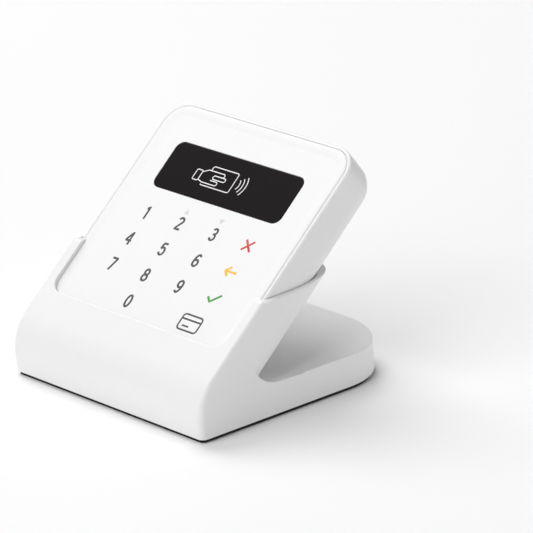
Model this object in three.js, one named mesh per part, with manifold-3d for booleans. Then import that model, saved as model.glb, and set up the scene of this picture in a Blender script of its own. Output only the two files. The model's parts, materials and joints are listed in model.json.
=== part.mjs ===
// Card payment terminal standing in its charging cradle.
// Millimetres, +Z up, keypad towards -Y. The origin is the middle of the footprint, on the table.
import * as THREE from 'three';
import { mergeVertices } from 'three/addons/utils/BufferGeometryUtils.js';
import Module from 'manifold-3d';

const wasm = await Module();
wasm.setup();

// ---- Driving dimensions ----

const FIT = 0.3; // clearance between two pieces that sit in each other

const TERMINAL = { side: 84, thick: 18.6, corner: 9.5, backEdge: 9, skin: 1.2, wall: 1.8 };
const SKIN_SEAT = { casingTop: -0.3, rebate: 1.3, skinEdge: 1.4 }; // the face skin lies inside the casing's edge
const TILT = THREE.MathUtils.degToRad(41.8); // slope of the terminal's face from level
const FACE = { y: -5.9, z: 50.3 }; // middle of the terminal's face in the cradle

const CRADLE = {
  width: 87,
  depth: 93.4,
  bottom: 1.3, // lower edge of the shell, just above the sole pad
  footTop: 12,
  rim: 40.7, // height of the tray's edge above the middle of the footprint
  rimRise: 0.042, // rise of that edge towards the back, per mm of depth
  wall: 2.1,
  lipProud: 1.4, // front face of the cradle, ahead of the terminal's face
  trayBack: 22, // outer back of the tray, behind the terminal's face
  trayEdge: 12, // rounding of the tray's back edges
  notch: { y: -12, z: 25, radius: 13 }, // arc of the hollow between tray and foot
  blockNotch: { y: 3.9, z: 19.5, radius: 7.5 }, // tighter arc in the middle, over the contact block
  blockCover: [14, 20], // places across between which the tighter arc turns into the other
  apronRadius: 16,
  apronTuck: THREE.MathUtils.degToRad(9), // lower front wall leans in
  frontCorner: 2.2,
  rearCorner: 26,
  rearLean: 1.5,
  openingWidth: 78.8, // between the arms, which reach over the terminal's edges
  lipEdge: -36.4, // where the front lip ends, along the slope from the face's middle
  lipCorner: 5,
};
const FRONT = -CRADLE.depth / 2;
const REAR = CRADLE.depth / 2;

const KEYS = { columnPitch: 15.45, rowPitch: 10.2, topRow: -0.1, width: 12.4, height: 7.6, corner: 2 };
const KEY_TRAVEL = 0.45;
const KEY_TOP = -0.42;
const WINDOW = { width: 57.6, height: 18.1, corner: 3, up: 18.65 };
const CARD_SLOT = { width: 55.4, gap: 1.0, mouth: 1.7, level: -7.55 };
const CHARGE = { count: 4, pitch: 4, up: -31 };
const SIDE_PORTS = { level: -8, usbUp: 12, buttonUp: 28 };

// Layers inside the terminal, measured down from its face.
const LAYER = {
  frameTop: -1.25,
  frameBottom: -2.85,
  domeTop: -4.4,
  domeSheet: -4.7,
  boardTop: -4.95,
  boardBottom: -5.95,
  readerTop: -6.05,
  readerBottom: -9.6,
};
const POSTS = [[32, 31.5], [-32, 31.5], [32, -31.5], [-32, -31.5]];
const POST_RADIUS = 2.4;

const BASE_SCREWS = [[36.2, -39.2], [-36.2, -39.2], [33.5, 22], [-33.5, 22]];
const BASE_PLATE_TOP = 3.3;
const FAR = 200; // half side of a block that only trims another solid at one level

// ---- Solids ----

// A closed geometry as a manifold solid.
function solid(geometry) {
  const bare = new THREE.BufferGeometry();
  bare.setAttribute('position', geometry.getAttribute('position'));
  bare.setIndex(geometry.index);
  const merged = mergeVertices(bare, 1e-4);
  return new wasm.Manifold(new wasm.Mesh({
    numProp: 3,
    vertProperties: new Float32Array(merged.attributes.position.array),
    triVerts: new Uint32Array(merged.index.array),
  }));
}

// A manifold solid as a geometry for a mesh.
function geometryOf(made) {
  const { vertProperties, triVerts } = made.getMesh();
  const geometry = new THREE.BufferGeometry();
  geometry.setAttribute('position', new THREE.BufferAttribute(vertProperties, 3));
  geometry.setIndex(new THREE.BufferAttribute(triVerts, 1));
  geometry.computeVertexNormals();
  return geometry;
}

const union = (first, ...rest) => rest.reduce((made, other) => made.add(other), first);
const cut = (first, ...rest) => rest.reduce((made, other) => made.subtract(other), first);

// A block between two corners.
function block([x0, y0, z0], [x1, y1, z1]) {
  const box = new THREE.BoxGeometry(x1 - x0, y1 - y0, z1 - z0);
  return solid(box.translate((x0 + x1) / 2, (y0 + y1) / 2, (z0 + z1) / 2));
}

// A rectangle with round corners, as an outline.
function roundedRectangle(width, height, radius, x = 0, y = 0) {
  const [right, top] = [x + width / 2 - radius, y + height / 2 - radius];
  const [left, bottom] = [x - width / 2 + radius, y - height / 2 + radius];
  const quarter = Math.PI / 2;
  const shape = new THREE.Shape();
  shape.absarc(right, top, radius, 0, quarter);
  shape.absarc(left, top, radius, quarter, 2 * quarter);
  shape.absarc(left, bottom, radius, 2 * quarter, 3 * quarter);
  shape.absarc(right, bottom, radius, 3 * quarter, 4 * quarter);
  shape.closePath();
  return shape;
}

// An outline in X and Y, from one level to another.
function prism(shape, low, high, curveSegments = 4) {
  const geometry = new THREE.ExtrudeGeometry(shape, { depth: high - low, bevelEnabled: false, curveSegments });
  return solid(geometry.translate(0, 0, low));
}

// An outline in Y and Z, carried along X.
function sidePrism(shape, left, right, curveSegments = 6) {
  const geometry = new THREE.ExtrudeGeometry(shape, { depth: right - left, bevelEnabled: false, curveSegments });
  const axes = [new THREE.Vector3(0, 1, 0), new THREE.Vector3(0, 0, 1), new THREE.Vector3(1, 0, 0)];
  return solid(geometry.applyMatrix4(new THREE.Matrix4().makeBasis(...axes)).translate(left, 0, 0));
}

// An outline from low to high whose edge is rounded at the low end only.
function tub(shape, low, high, radius, curveSegments = 5, bevelSegments = 4) {
  const geometry = new THREE.ExtrudeGeometry(shape, {
    depth: high - low,
    bevelThickness: radius,
    bevelSize: radius,
    bevelOffset: -radius,
    bevelSegments,
    curveSegments,
  });
  return solid(geometry.translate(0, 0, low + radius)).intersect(block([-FAR, -FAR, -FAR], [FAR, FAR, high]));
}

// A round bar along Z.
function bar(radius, low, high, x = 0, y = 0, sides = 12) {
  const geometry = new THREE.CylinderGeometry(radius, radius, high - low, sides);
  return solid(geometry.rotateX(Math.PI / 2).translate(x, y, (low + high) / 2));
}

// A screw with its head at the low end, pointing up.
function screw({ head, headHeight, shank, length }) {
  const outline = [[0, 0], [head, 0], [head, headHeight], [shank, headHeight], [shank, length], [0, length]];
  const geometry = new THREE.LatheGeometry(outline.map(([x, y]) => new THREE.Vector2(x, y)), 12);
  return solid(geometry.rotateX(Math.PI / 2));
}

// ---- Placing the terminal's frame in the cradle ----

const seat = new THREE.Matrix4().makeRotationX(TILT).setPosition(0, FACE.y, FACE.z);

// A solid made in the terminal's frame, moved to where the terminal sits.
const seated = (made) => made.transform(seat.toArray());

// Height and depth of a point that is given by its distance ahead of the terminal's face.
const heightAt = (y, ahead) => FACE.z + (ahead + (y - FACE.y) * Math.sin(TILT)) / Math.cos(TILT);
const depthAt = (z, ahead) => FACE.y + ((z - FACE.z) * Math.cos(TILT) - ahead) / Math.sin(TILT);

// ---- Cradle ----

// Where a line at a distance ahead of the terminal's face meets the tray's edge, lowered by a drop.
function rimPoint(ahead, drop) {
  const level = CRADLE.rim - drop;
  const y = depthAt(level, ahead) / (1 - CRADLE.rimRise / Math.tan(TILT));
  return [y, level + CRADLE.rimRise * y];
}

// Where a line at a distance ahead of the terminal's face meets a notch's arc.
function notchStart({ y, z }, ahead, radius) {
  const [sin, cos] = [Math.sin(TILT), Math.cos(TILT)];
  const off = ahead - ((z - FACE.z) * cos - (y - FACE.y) * sin);
  const along = Math.sqrt(radius ** 2 - off ** 2);
  return [y - off * sin - along * cos, z + off * cos - along * sin];
}

// Side view of the cradle in Y and Z, as its corner points in order. Back is how far the tray's back lies
// behind the terminal's face, notch is the arc of the hollow, inset moves every wall inwards, and bottom is
// the lowest level.
function sideOutline({ back, notch }, inset, bottom) {
  const { apronRadius, apronTuck, lipProud, footTop, rearLean } = CRADLE;
  const slopeNormal = Math.PI / 2 + TILT;

  const apronY = FRONT + apronRadius;
  const apronZ = heightAt(apronY, lipProud - apronRadius);
  const apron = apronRadius - inset;
  const tuckStart = Math.PI + apronTuck;
  const tuckY = apronY + apron * Math.cos(tuckStart);
  const tuckZ = apronZ + apron * Math.sin(tuckStart);

  const radius = notch.radius + inset;
  const [startY, startZ] = notchStart(notch, inset - back, radius);
  const start = Math.atan2(startZ - notch.z, startY - notch.y) + 2 * Math.PI;

  const shape = new THREE.Shape();
  shape.moveTo(tuckY + (tuckZ - bottom) * Math.tan(apronTuck), bottom);
  shape.lineTo(tuckY, tuckZ);
  shape.absarc(apronY, apronZ, apron, tuckStart, slopeNormal, true);
  shape.lineTo(...rimPoint(lipProud - inset, inset));
  shape.lineTo(...rimPoint(inset - back, inset));
  shape.lineTo(startY, startZ);
  shape.absarc(notch.y, notch.z, radius, start, 1.5 * Math.PI);
  shape.lineTo(REAR - rearLean - inset, footTop - inset);
  shape.lineTo(REAR - inset, bottom);
  return shape.getPoints(6);
}

// Places across the cradle where its side view changes: the hollow is tighter over the contact block, and
// the tray's back is rounded towards both sides.
function stations(inset) {
  const { width, trayBack, trayEdge, notch, blockNotch, blockCover } = CRADLE;
  const steps = 6;
  const middle = [blockNotch, notch].map((arc, i) => ({ x: blockCover[i] - inset, back: trayBack, notch: arc }));
  const edge = Array.from({ length: steps + 1 }, (_, i) => {
    const angle = (i / steps) * (Math.PI / 2);
    return {
      x: width / 2 - trayEdge + (trayEdge - inset) * Math.sin(angle),
      back: trayBack - trayEdge + trayEdge * Math.cos(angle),
      notch,
    };
  });
  const right = [...middle, ...edge];
  return [...right.map((place) => ({ ...place, x: -place.x })).reverse(), ...right];
}

// The cradle's body without its pocket, as a loft of side views.
function cradleBody(inset, bottom) {
  const places = stations(inset);
  const rings = places.map((place) => sideOutline(place, inset, bottom));
  const size = rings[0].length;
  const positions = rings.flatMap((ring, i) => ring.flatMap(({ x: y, y: z }) => [places[i].x, y, z]));
  const index = [];
  for (let i = 0; i + 1 < rings.length; i += 1) {
    for (let j = 0; j < size; j += 1) {
      const [near, next] = [i * size + j, i * size + (j + 1) % size];
      index.push(near, near + size, next + size, near, next + size, next);
    }
  }
  const last = (rings.length - 1) * size;
  for (const [a, b, c] of THREE.ShapeUtils.triangulateShape(rings[0], [])) index.push(a, c, b);
  for (const [a, b, c] of THREE.ShapeUtils.triangulateShape(rings.at(-1), [])) index.push(last + a, last + b, last + c);

  const geometry = new THREE.BufferGeometry();
  geometry.setAttribute('position', new THREE.Float32BufferAttribute(positions, 3));
  geometry.setIndex(index);
  return solid(geometry).intersect(prism(planOutline(inset), 0, 60, 8));
}

// Plan view of the cradle; inset moves the outline inwards.
function planOutline(inset = 0) {
  const { width, frontCorner, rearCorner } = CRADLE;
  const half = width / 2;
  const [front, rear] = [Math.max(frontCorner - inset, 1), rearCorner - inset];
  const quarter = Math.PI / 2;
  const shape = new THREE.Shape();
  shape.absarc(half - rearCorner, REAR - rearCorner, rear, 0, quarter);
  shape.absarc(rearCorner - half, REAR - rearCorner, rear, quarter, 2 * quarter);
  shape.absarc(inset + front - half, FRONT + inset + front, front, 2 * quarter, 3 * quarter);
  shape.absarc(half - inset - front, FRONT + inset + front, front, 3 * quarter, 4 * quarter);
  shape.closePath();
  return shape;
}

// The space that the terminal takes up in the tray, grown on every side.
function pocket(grow) {
  const { side, thick, corner, backEdge } = TERMINAL;
  const above = 40; // carries the pocket past the rim
  const shape = roundedRectangle(side + 2 * grow, side + 2 * grow + above, corner + grow, 0, above / 2);
  return seated(tub(shape, -thick - grow, grow, backEdge + grow));
}

// The opening in the cradle's front face that shows the terminal's face.
function frontOpening() {
  const { openingWidth: width, lipEdge, lipCorner } = CRADLE;
  const height = 80;
  return seated(prism(roundedRectangle(width, height, lipCorner, 0, lipEdge + height / 2), 0, 9));
}

// Hole in the tray floor for the contact block's nose.
const CONTACT_NOSE = { width: 19.4, height: 4.4 };

function cradleShell() {
  const { wall, bottom } = CRADLE;
  const outer = cradleBody(0, bottom);
  let hollow = cut(cradleBody(wall, bottom - 1), pocket(FIT + 1.8));
  hollow = cut(hollow, ...BASE_SCREWS.map(([x, y]) => bar(3.2, BASE_PLATE_TOP + 0.1, 30, x, y)));

  const { width: noseWidth, height: noseHeight } = CONTACT_NOSE;
  const [w, h] = [noseWidth / 2 + FIT, noseHeight / 2 + FIT];
  const nosePort = seated(block([-w, CHARGE.up - h, -24], [w, CHARGE.up + h, -15]));
  const usbPort = block([-4.6, REAR - 6, 4.1], [4.6, REAR + 1, 8.0]);
  const screwHoles = BASE_SCREWS.map(([x, y]) => bar(1.3, 0, 10.6, x, y, 10));
  return cut(outer, hollow, pocket(FIT), frontOpening(), nosePort, usbPort, ...screwHoles);
}

// A flat slice of the cradle's body, from one level to another.
function slice(inset, low, high) {
  return cradleBody(inset, low).intersect(block([-FAR, -FAR, low], [FAR, FAR, high]));
}

function basePlate() {
  const plate = slice(CRADLE.wall + FIT, CRADLE.bottom + 0.05, BASE_PLATE_TOP);
  const holes = BASE_SCREWS.flatMap(([x, y]) => [bar(1.5, 0, 5, x, y, 10), bar(2.9, 0, 2.6, x, y)]);
  return cut(plate, ...holes);
}

const solePad = () => slice(0.7, 0, CRADLE.bottom - 0.05);

const baseScrew = () => screw({ head: 2.5, headHeight: 1.1, shank: 1.1, length: 8 });

const ballastPlate = () => prism(roundedRectangle(54, 32, 3, 0, 11), 3.4, 7.9, 3);

function cradleBoard() {
  const board = block([-15, 30, 3.4], [15, 43.4, 4.6]);
  const regulator = block([-12, 32, 4.5], [-7, 37, 6.1]);
  const inductor = block([6.5, 32, 4.5], [11.5, 37, 6.9]);
  return union(board, regulator, inductor);
}

// A USB socket lying along Y with its mouth at +Y, its middle at the origin.
function usbSocket(width, height, length) {
  const [w, h, l] = [width / 2, height / 2, length / 2];
  const skin = 0.35;
  const shell = cut(block([-w, -l, -h], [w, l, h]), block([skin - w, 1 - l, skin - h], [w - skin, l + 1, h - skin]));
  return union(shell, block([-w * 0.62, 0.5 - l, -0.35], [w * 0.62, l - 0.9, 0.35]));
}

// Housing of the charging contacts, pushed up through the tray floor from below.
function contactBlock() {
  const { width, height } = CONTACT_NOSE;
  const [w, h] = [width / 2, height / 2];
  const nose = block([-w, CHARGE.up - h, -22], [w, CHARGE.up + h, -19.2]);
  const body = block([-w - 1.5, CHARGE.up - h - 1.6, -25.6], [w + 1.5, CHARGE.up + h + 1.6, -21.2]);
  const bores = chargePlaces().map((x) => bar(1.05, -24.6, -19, x, CHARGE.up, 10));
  return cut(union(nose, body), ...bores);
}

const chargePlaces = () => Array.from({ length: CHARGE.count }, (_, i) => (i - (CHARGE.count - 1) / 2) * CHARGE.pitch);

// A contact pin with a round tip that bears on the terminal's pad.
function chargePin() {
  const [tip, foot, radius] = [-18.68, -23.4, 0.75];
  const points = [[0, foot], [radius, foot], [radius, tip - 0.6], [0.55, tip - 0.2], [0.25, tip], [0, tip]];
  const geometry = new THREE.LatheGeometry(points.map(([x, y]) => new THREE.Vector2(x, y)), 10);
  return solid(geometry.rotateX(Math.PI / 2));
}

// Flat cable from the contact block over the ballast to the cradle's board.
function contactRibbon() {
  const path = [[-8.9, 9.3], [-5.6, 8.3], [28, 8.3], [32, 5.0]];
  const thick = 0.25;
  const shape = new THREE.Shape();
  path.forEach(([y, z], i) => (i ? shape.lineTo(y, z) : shape.moveTo(y, z)));
  [...path].reverse().forEach(([y, z]) => shape.lineTo(y + thick * 0.4, z + thick));
  shape.closePath();
  return sidePrism(shape, -4, 4);
}

// ---- Terminal, in its own frame: X across, Y up the face, Z out of the face ----

const faceOutline = (inset) => {
  const { side, corner } = TERMINAL;
  return roundedRectangle(side - 2 * inset, side - 2 * inset, corner - inset);
};

const KEY_NAMES = [
  ['1', '2', '3', 'cancel'],
  ['4', '5', '6', 'back'],
  ['7', '8', '9', 'confirm'],
  [null, '0', null, null],
];

// Every key with its name and place on the face.
const keyPlaces = KEY_NAMES.flatMap((row, r) => row.map((name, c) => ({
  name,
  x: (c - 1.5) * KEYS.columnPitch,
  y: KEYS.topRow - r * KEYS.rowPitch,
}))).filter(({ name }) => name !== null);

// A key-shaped prism, grown on every side.
function keyPrism({ x, y }, grow, low, high) {
  const { width, height, corner } = KEYS;
  return prism(roundedRectangle(width + 2 * grow, height + 2 * grow, corner + grow, x, y), low, high, 3);
}

const windowPrism = (grow, low, high) => prism(
  roundedRectangle(WINDOW.width + 2 * grow, WINDOW.height + 2 * grow, WINDOW.corner + grow, 0, WINDOW.up), low, high);

// Soft white face, one sheet over the keys, with a window for the display.
function faceSkin() {
  const front = tub(faceOutline(SKIN_SEAT.skinEdge), 0, TERMINAL.skin, 0.9, 6, 2).mirror([0, 0, 1]);
  const keyPockets = keyPlaces.map((key) => keyPrism(key, 0.4, -3, KEY_TOP + 0.05));
  return cut(front, windowPrism(0.2, -3, 1), ...keyPockets);
}

// Stiff frame under the skin that guides the keys and holds the display window.
function frontFrame() {
  const { frameTop, frameBottom } = LAYER;
  const plate = prism(faceOutline(TERMINAL.wall + FIT), frameBottom, frameTop);
  const bosses = POSTS.map(([x, y]) => bar(POST_RADIUS, -6.1, frameBottom + 0.1, x, y));
  const pilots = POSTS.map(([x, y]) => bar(1.1, -7, -1.8, x, y, 8));
  const guides = keyPlaces.map((key) => keyPrism(key, 0.2, -4, 0));
  const display = block([-26, WINDOW.up - 7.7, -4], [26, WINDOW.up + 7.7, 0]);
  return cut(union(plate, ...bosses), ...guides, ...pilots, display, windowPrism(0.3, -1.65, 1));
}

const displayWindow = () => windowPrism(0, -1.55, -0.05);

function displayModule() {
  const { up } = WINDOW;
  const panel = block([-25, up - 6.8, -3.4], [25, up + 6.8, -1.75]);
  const frame = block([-28, up - 8.4, -4.2], [28, up + 8.4, -2.95]);
  const tail = block([-6, up - 11.2, -4.2], [6, up - 8, -3.9]);
  return union(panel, frame, tail);
}

function nfcAntenna() {
  const board = prism(roundedRectangle(76, 30.4, 4, 0, 20.6), -3.3, -2.95, 3);
  const middle = prism(roundedRectangle(58, 18.5, 2, 0, WINDOW.up), -4, -2, 3);
  return cut(board, middle, ...POSTS.map(([x, y]) => bar(POST_RADIUS + FIT, -4, -2, x, y)));
}

// A key with a flange under the frame and a small foot over its dome.
function key(place) {
  const { frameBottom } = LAYER;
  const cap = keyPrism(place, 0, frameBottom - 0.3, KEY_TOP);
  const flange = keyPrism(place, 0.6, frameBottom - 0.55, frameBottom - 0.05);
  return union(cap, flange, bar(1.2, LAYER.domeTop + KEY_TRAVEL + 0.05, frameBottom - 0.4, place.x, place.y, 8));
}

// Switch foil with one dome for each key, at the domes' pressed height.
function domeSheet() {
  const { domeTop, domeSheet: sheetTop, boardTop } = LAYER;
  const sheet = prism(roundedRectangle(58.6, 41, 2, 0, -15.4), boardTop + 0.05, sheetTop, 2);
  const dome = (x, y) => {
    const geometry = new THREE.CylinderGeometry(1.3, 2.6, domeTop - sheetTop + 0.05, 10);
    return solid(geometry.rotateX(Math.PI / 2).translate(x, y, (domeTop + sheetTop - 0.05) / 2));
  };
  return union(sheet, ...keyPlaces.map(({ x, y }) => dome(x, y)));
}

function mainBoard() {
  const { boardTop, boardBottom } = LAYER;
  const board = prism(faceOutline(TERMINAL.wall + 1.6), boardBottom, boardTop, 3);
  const holes = POSTS.map(([x, y]) => bar(POST_RADIUS + 0.4, -8, -3, x, y));
  const shield = block([-20, 8, boardBottom - 1.5], [4, 30, boardBottom + 0.1]);
  const processor = block([8, 12, boardBottom - 1.1], [20, 24, boardBottom + 0.1]);
  const radio = block([-33, 6, boardBottom - 1.3], [-24, 20, boardBottom + 0.1]);
  return union(cut(board, ...holes), shield, processor, radio);
}

// Small switch at the board's edge, behind the power button.
function sideSwitch() {
  const edge = -TERMINAL.side / 2 + 3.6;
  const { buttonUp } = SIDE_PORTS;
  const { boardBottom } = LAYER;
  const body = block([edge, buttonUp - 2.6, boardBottom - 3.6], [edge + 2.8, buttonUp + 2.6, boardBottom - 0.05]);
  const tip = block([edge - 0.3, buttonUp - 1, boardBottom - 2.7], [edge + 0.1, buttonUp + 1, boardBottom - 1.1]);
  return union(body, tip);
}

// Chip card reader: a cover and a base with the card's gap between them, and rails at its sides and end.
const READER = { width: 57.4, mouth: -39.8, end: -2 };
const CARD_TOP = CARD_SLOT.level + CARD_SLOT.gap / 2;
const CARD_BOTTOM = CARD_SLOT.level - CARD_SLOT.gap / 2;

function chipReaderCover() {
  const half = READER.width / 2;
  return block([-half, READER.mouth, CARD_TOP], [half, READER.end, LAYER.readerTop]);
}

function chipReaderBase() {
  const half = READER.width / 2;
  const base = block([-half, READER.mouth, LAYER.readerBottom], [half, READER.end, CARD_BOTTOM]);
  return cut(base, block([-7, -22, LAYER.readerBottom - 1], [7, -10, CARD_BOTTOM + 1]));
}

function chipReaderRails() {
  const half = READER.width / 2;
  const inner = CARD_SLOT.width / 2 - 0.2;
  const [low, high] = [CARD_BOTTOM + 0.05, CARD_TOP - 0.05];
  const frame = block([-half, READER.mouth, low], [half, READER.end, high]);
  return cut(frame, block([-inner, READER.mouth - 1, low - 1], [inner, READER.end - 3, high + 1]));
}

// Eight sprung contacts on a carrier, under the card's chip.
function chipContacts() {
  const carrier = block([-6.6, -21.6, LAYER.readerBottom + 0.1], [6.6, -10.4, CARD_BOTTOM - 0.7]);
  const contacts = [-1, 1].flatMap((side) => [0, 1, 2, 3].map((i) => {
    const y = -19.8 + i * 2.54;
    return block([side * 3.8 - 1.5, y - 0.45, CARD_BOTTOM - 0.8], [side * 3.8 + 1.5, y + 0.45, CARD_BOTTOM - 0.05]);
  }));
  return union(carrier, ...contacts);
}

const batteryCell = () => prism(roundedRectangle(50, 34, 2, 0, 19), -14.6, -8.4, 3);
const backupCell = () => bar(8, -12.2, -10.1, -17, -15, 20);

function buzzer() {
  return cut(bar(6, -13.6, -10.1, 17, -15, 16), bar(1, -14, -12.5, 17, -15, 8));
}

const contactBoard = () => block([-10, CHARGE.up - 3.5, -15.9], [10, CHARGE.up + 3.5, -15.1]);

// Gold pad in the back of the terminal, held by a flange inside.
function chargePad(x) {
  const disc = bar(1.4, -18.6, -16.6, x, CHARGE.up, 12);
  return union(disc, bar(1.8, -16.7, -16.0, x, CHARGE.up, 12));
}

function rearCasing() {
  const { thick, wall, backEdge } = TERMINAL;
  const half = TERMINAL.side / 2;
  const outer = tub(faceOutline(0), -thick, SKIN_SEAT.casingTop, backEdge);
  const skinSeat = prism(faceOutline(SKIN_SEAT.rebate), LAYER.frameTop, 1);
  let hollow = tub(faceOutline(wall), wall - thick, 1, backEdge - wall);
  hollow = cut(hollow, ...POSTS.map(([x, y]) => bar(POST_RADIUS + 0.9, -thick, -6.2, x, y)));

  const screwHoles = POSTS.flatMap(([x, y]) => [bar(2.3, -thick - 1, -12, x, y), bar(1.2, -thick, -6, x, y, 10)]);
  const { width, mouth, level } = CARD_SLOT;
  const slot = block([-width / 2, -half - 1, level - mouth / 2], [width / 2, -half + 3, level + mouth / 2]);
  const { level: side, usbUp, buttonUp } = SIDE_PORTS;
  const usb = block([-half - 1, usbUp - 4.1, side - 1.7], [-half + 3, usbUp + 4.1, side + 1.7]);
  const button = prism(roundedRectangle(3.6, 9.8, 1.7), 0, 5, 3);
  const buttonHole = button.rotate([0, 90, 0]).translate([-half - 1, buttonUp, side]);
  const pads = chargePlaces().map((x) => bar(1.6, -thick - 1, -16, x, CHARGE.up, 12));
  return cut(outer, hollow, skinSeat, ...screwHoles, slot, usb, buttonHole, ...pads);
}

// Power button in the left side, with a flange behind the wall.
function powerButton() {
  const half = TERMINAL.side / 2;
  const { level, buttonUp } = SIDE_PORTS;
  const cap = prism(roundedRectangle(3, 9.2, 1.4), -0.35, 2.6, 3);
  const flange = prism(roundedRectangle(4.6, 11, 1.8), 1.95, 2.8, 3);
  return union(cap, flange).rotate([0, 90, 0]).translate([-half, buttonUp, level]);
}

const casingScrew = () => screw({ head: 1.9, headHeight: 1.3, shank: 0.9, length: 8 });

// ---- Materials ----

const material = (color, roughness, metalness = 0) => new THREE.MeshStandardMaterial({ color, roughness, metalness });
const WHITE_GLOSS = material(0xf3f3f2, 0.22);
const WHITE_SATIN = material(0xf4f4f3, 0.38);
const WHITE_INNER = material(0xdededc, 0.55);
const BLACK_RUBBER = material(0x121212, 0.8);
const BLACK_GLASS = material(0x161415, 0.08);
const BLACK_PLASTIC = material(0x1c1c1d, 0.5);
const STEEL = material(0xb9bbbe, 0.3, 1);
const GOLD = material(0xd8b25a, 0.25, 1);
const GREEN_BOARD = material(0x1d5a38, 0.5);
const AMBER_FOIL = material(0xb8762a, 0.4);
const BATTERY_FOIL = material(0xa9adb1, 0.35, 0.6);

// ---- Assembly ----

const assembly = new THREE.Group();
const terminal = new THREE.Group();
terminal.applyMatrix4(seat);
assembly.add(terminal);

// Adds a named piece to a group, and gives the mesh back so that it can be placed.
function piece(group, name, made, finish) {
  const mesh = new THREE.Mesh(geometryOf(made), finish);
  mesh.name = name;
  group.add(mesh);
  return mesh;
}

piece(assembly, 'cradle_shell', cradleShell(), WHITE_GLOSS);
piece(assembly, 'base_plate', basePlate(), BLACK_PLASTIC);
piece(assembly, 'sole_pad', solePad(), BLACK_RUBBER);
piece(assembly, 'ballast_plate', ballastPlate(), STEEL);
piece(assembly, 'cradle_board', cradleBoard(), GREEN_BOARD);
piece(assembly, 'cradle_usb_socket', usbSocket(7.8, 2.8, 7), STEEL).position.set(0, REAR - 5.3, 6.05);
piece(assembly, 'contact_ribbon', contactRibbon(), AMBER_FOIL);
BASE_SCREWS.forEach(([x, y], i) => {
  piece(assembly, `base_screw_${i + 1}`, baseScrew(), STEEL).position.set(x, y, CRADLE.bottom + 0.1);
});

// The contact block and its pins stand square to the tray floor, so they share the terminal's frame.
piece(terminal, 'contact_block', contactBlock(), BLACK_PLASTIC);
chargePlaces().forEach((x, i) => {
  piece(terminal, `charge_pin_${i + 1}`, chargePin(), GOLD).position.set(x, CHARGE.up, 0);
  piece(terminal, `charge_pad_${i + 1}`, chargePad(x), GOLD);
});

piece(terminal, 'rear_casing', rearCasing(), WHITE_GLOSS);
piece(terminal, 'front_frame', frontFrame(), WHITE_INNER);
piece(terminal, 'face_skin', faceSkin(), WHITE_SATIN);
piece(terminal, 'display_window', displayWindow(), BLACK_GLASS);
piece(terminal, 'display_module', displayModule(), BLACK_PLASTIC);
piece(terminal, 'nfc_antenna', nfcAntenna(), AMBER_FOIL);
keyPlaces.forEach((place) => piece(terminal, `key_${place.name}`, key(place), WHITE_INNER));
piece(terminal, 'dome_sheet', domeSheet(), STEEL);
piece(terminal, 'main_board', mainBoard(), GREEN_BOARD);
piece(terminal, 'side_switch', sideSwitch(), BLACK_PLASTIC);
piece(terminal, 'chip_reader_cover', chipReaderCover(), BLACK_PLASTIC);
piece(terminal, 'chip_reader_rails', chipReaderRails(), BLACK_PLASTIC);
piece(terminal, 'chip_reader_base', chipReaderBase(), BLACK_PLASTIC);
piece(terminal, 'chip_contacts', chipContacts(), GOLD);
piece(terminal, 'battery_cell', batteryCell(), BATTERY_FOIL);
piece(terminal, 'backup_cell', backupCell(), STEEL);
piece(terminal, 'buzzer', buzzer(), BLACK_PLASTIC);
piece(terminal, 'contact_board', contactBoard(), GREEN_BOARD);
piece(terminal, 'power_button', powerButton(), WHITE_INNER);
const sideSocket = piece(terminal, 'terminal_usb_socket', usbSocket(7.4, 2.6, 5.4), STEEL);
sideSocket.rotation.z = Math.PI / 2;
sideSocket.position.set(2.9 - TERMINAL.side / 2, SIDE_PORTS.usbUp, SIDE_PORTS.level);
POSTS.forEach(([x, y], i) => {
  piece(terminal, `casing_screw_${i + 1}`, casingScrew(), STEEL).position.set(x, y, -13.4);
});

export default assembly;
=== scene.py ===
"""Looks of a card payment terminal that stands in its charging cradle.

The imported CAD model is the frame. The mouldings are rebuilt here with their rounded
edges, the keypad gets its legends, and every piece gets a procedural material.
Lengths are in millimetres until a mesh is made; meshes are in metres.
"""

import json
import logging
import math
from dataclasses import dataclass, field
from enum import Enum
from typing import Iterable, Sequence

import bmesh
import bpy
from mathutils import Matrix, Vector
from mathutils.geometry import delaunay_2d_cdt

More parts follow.
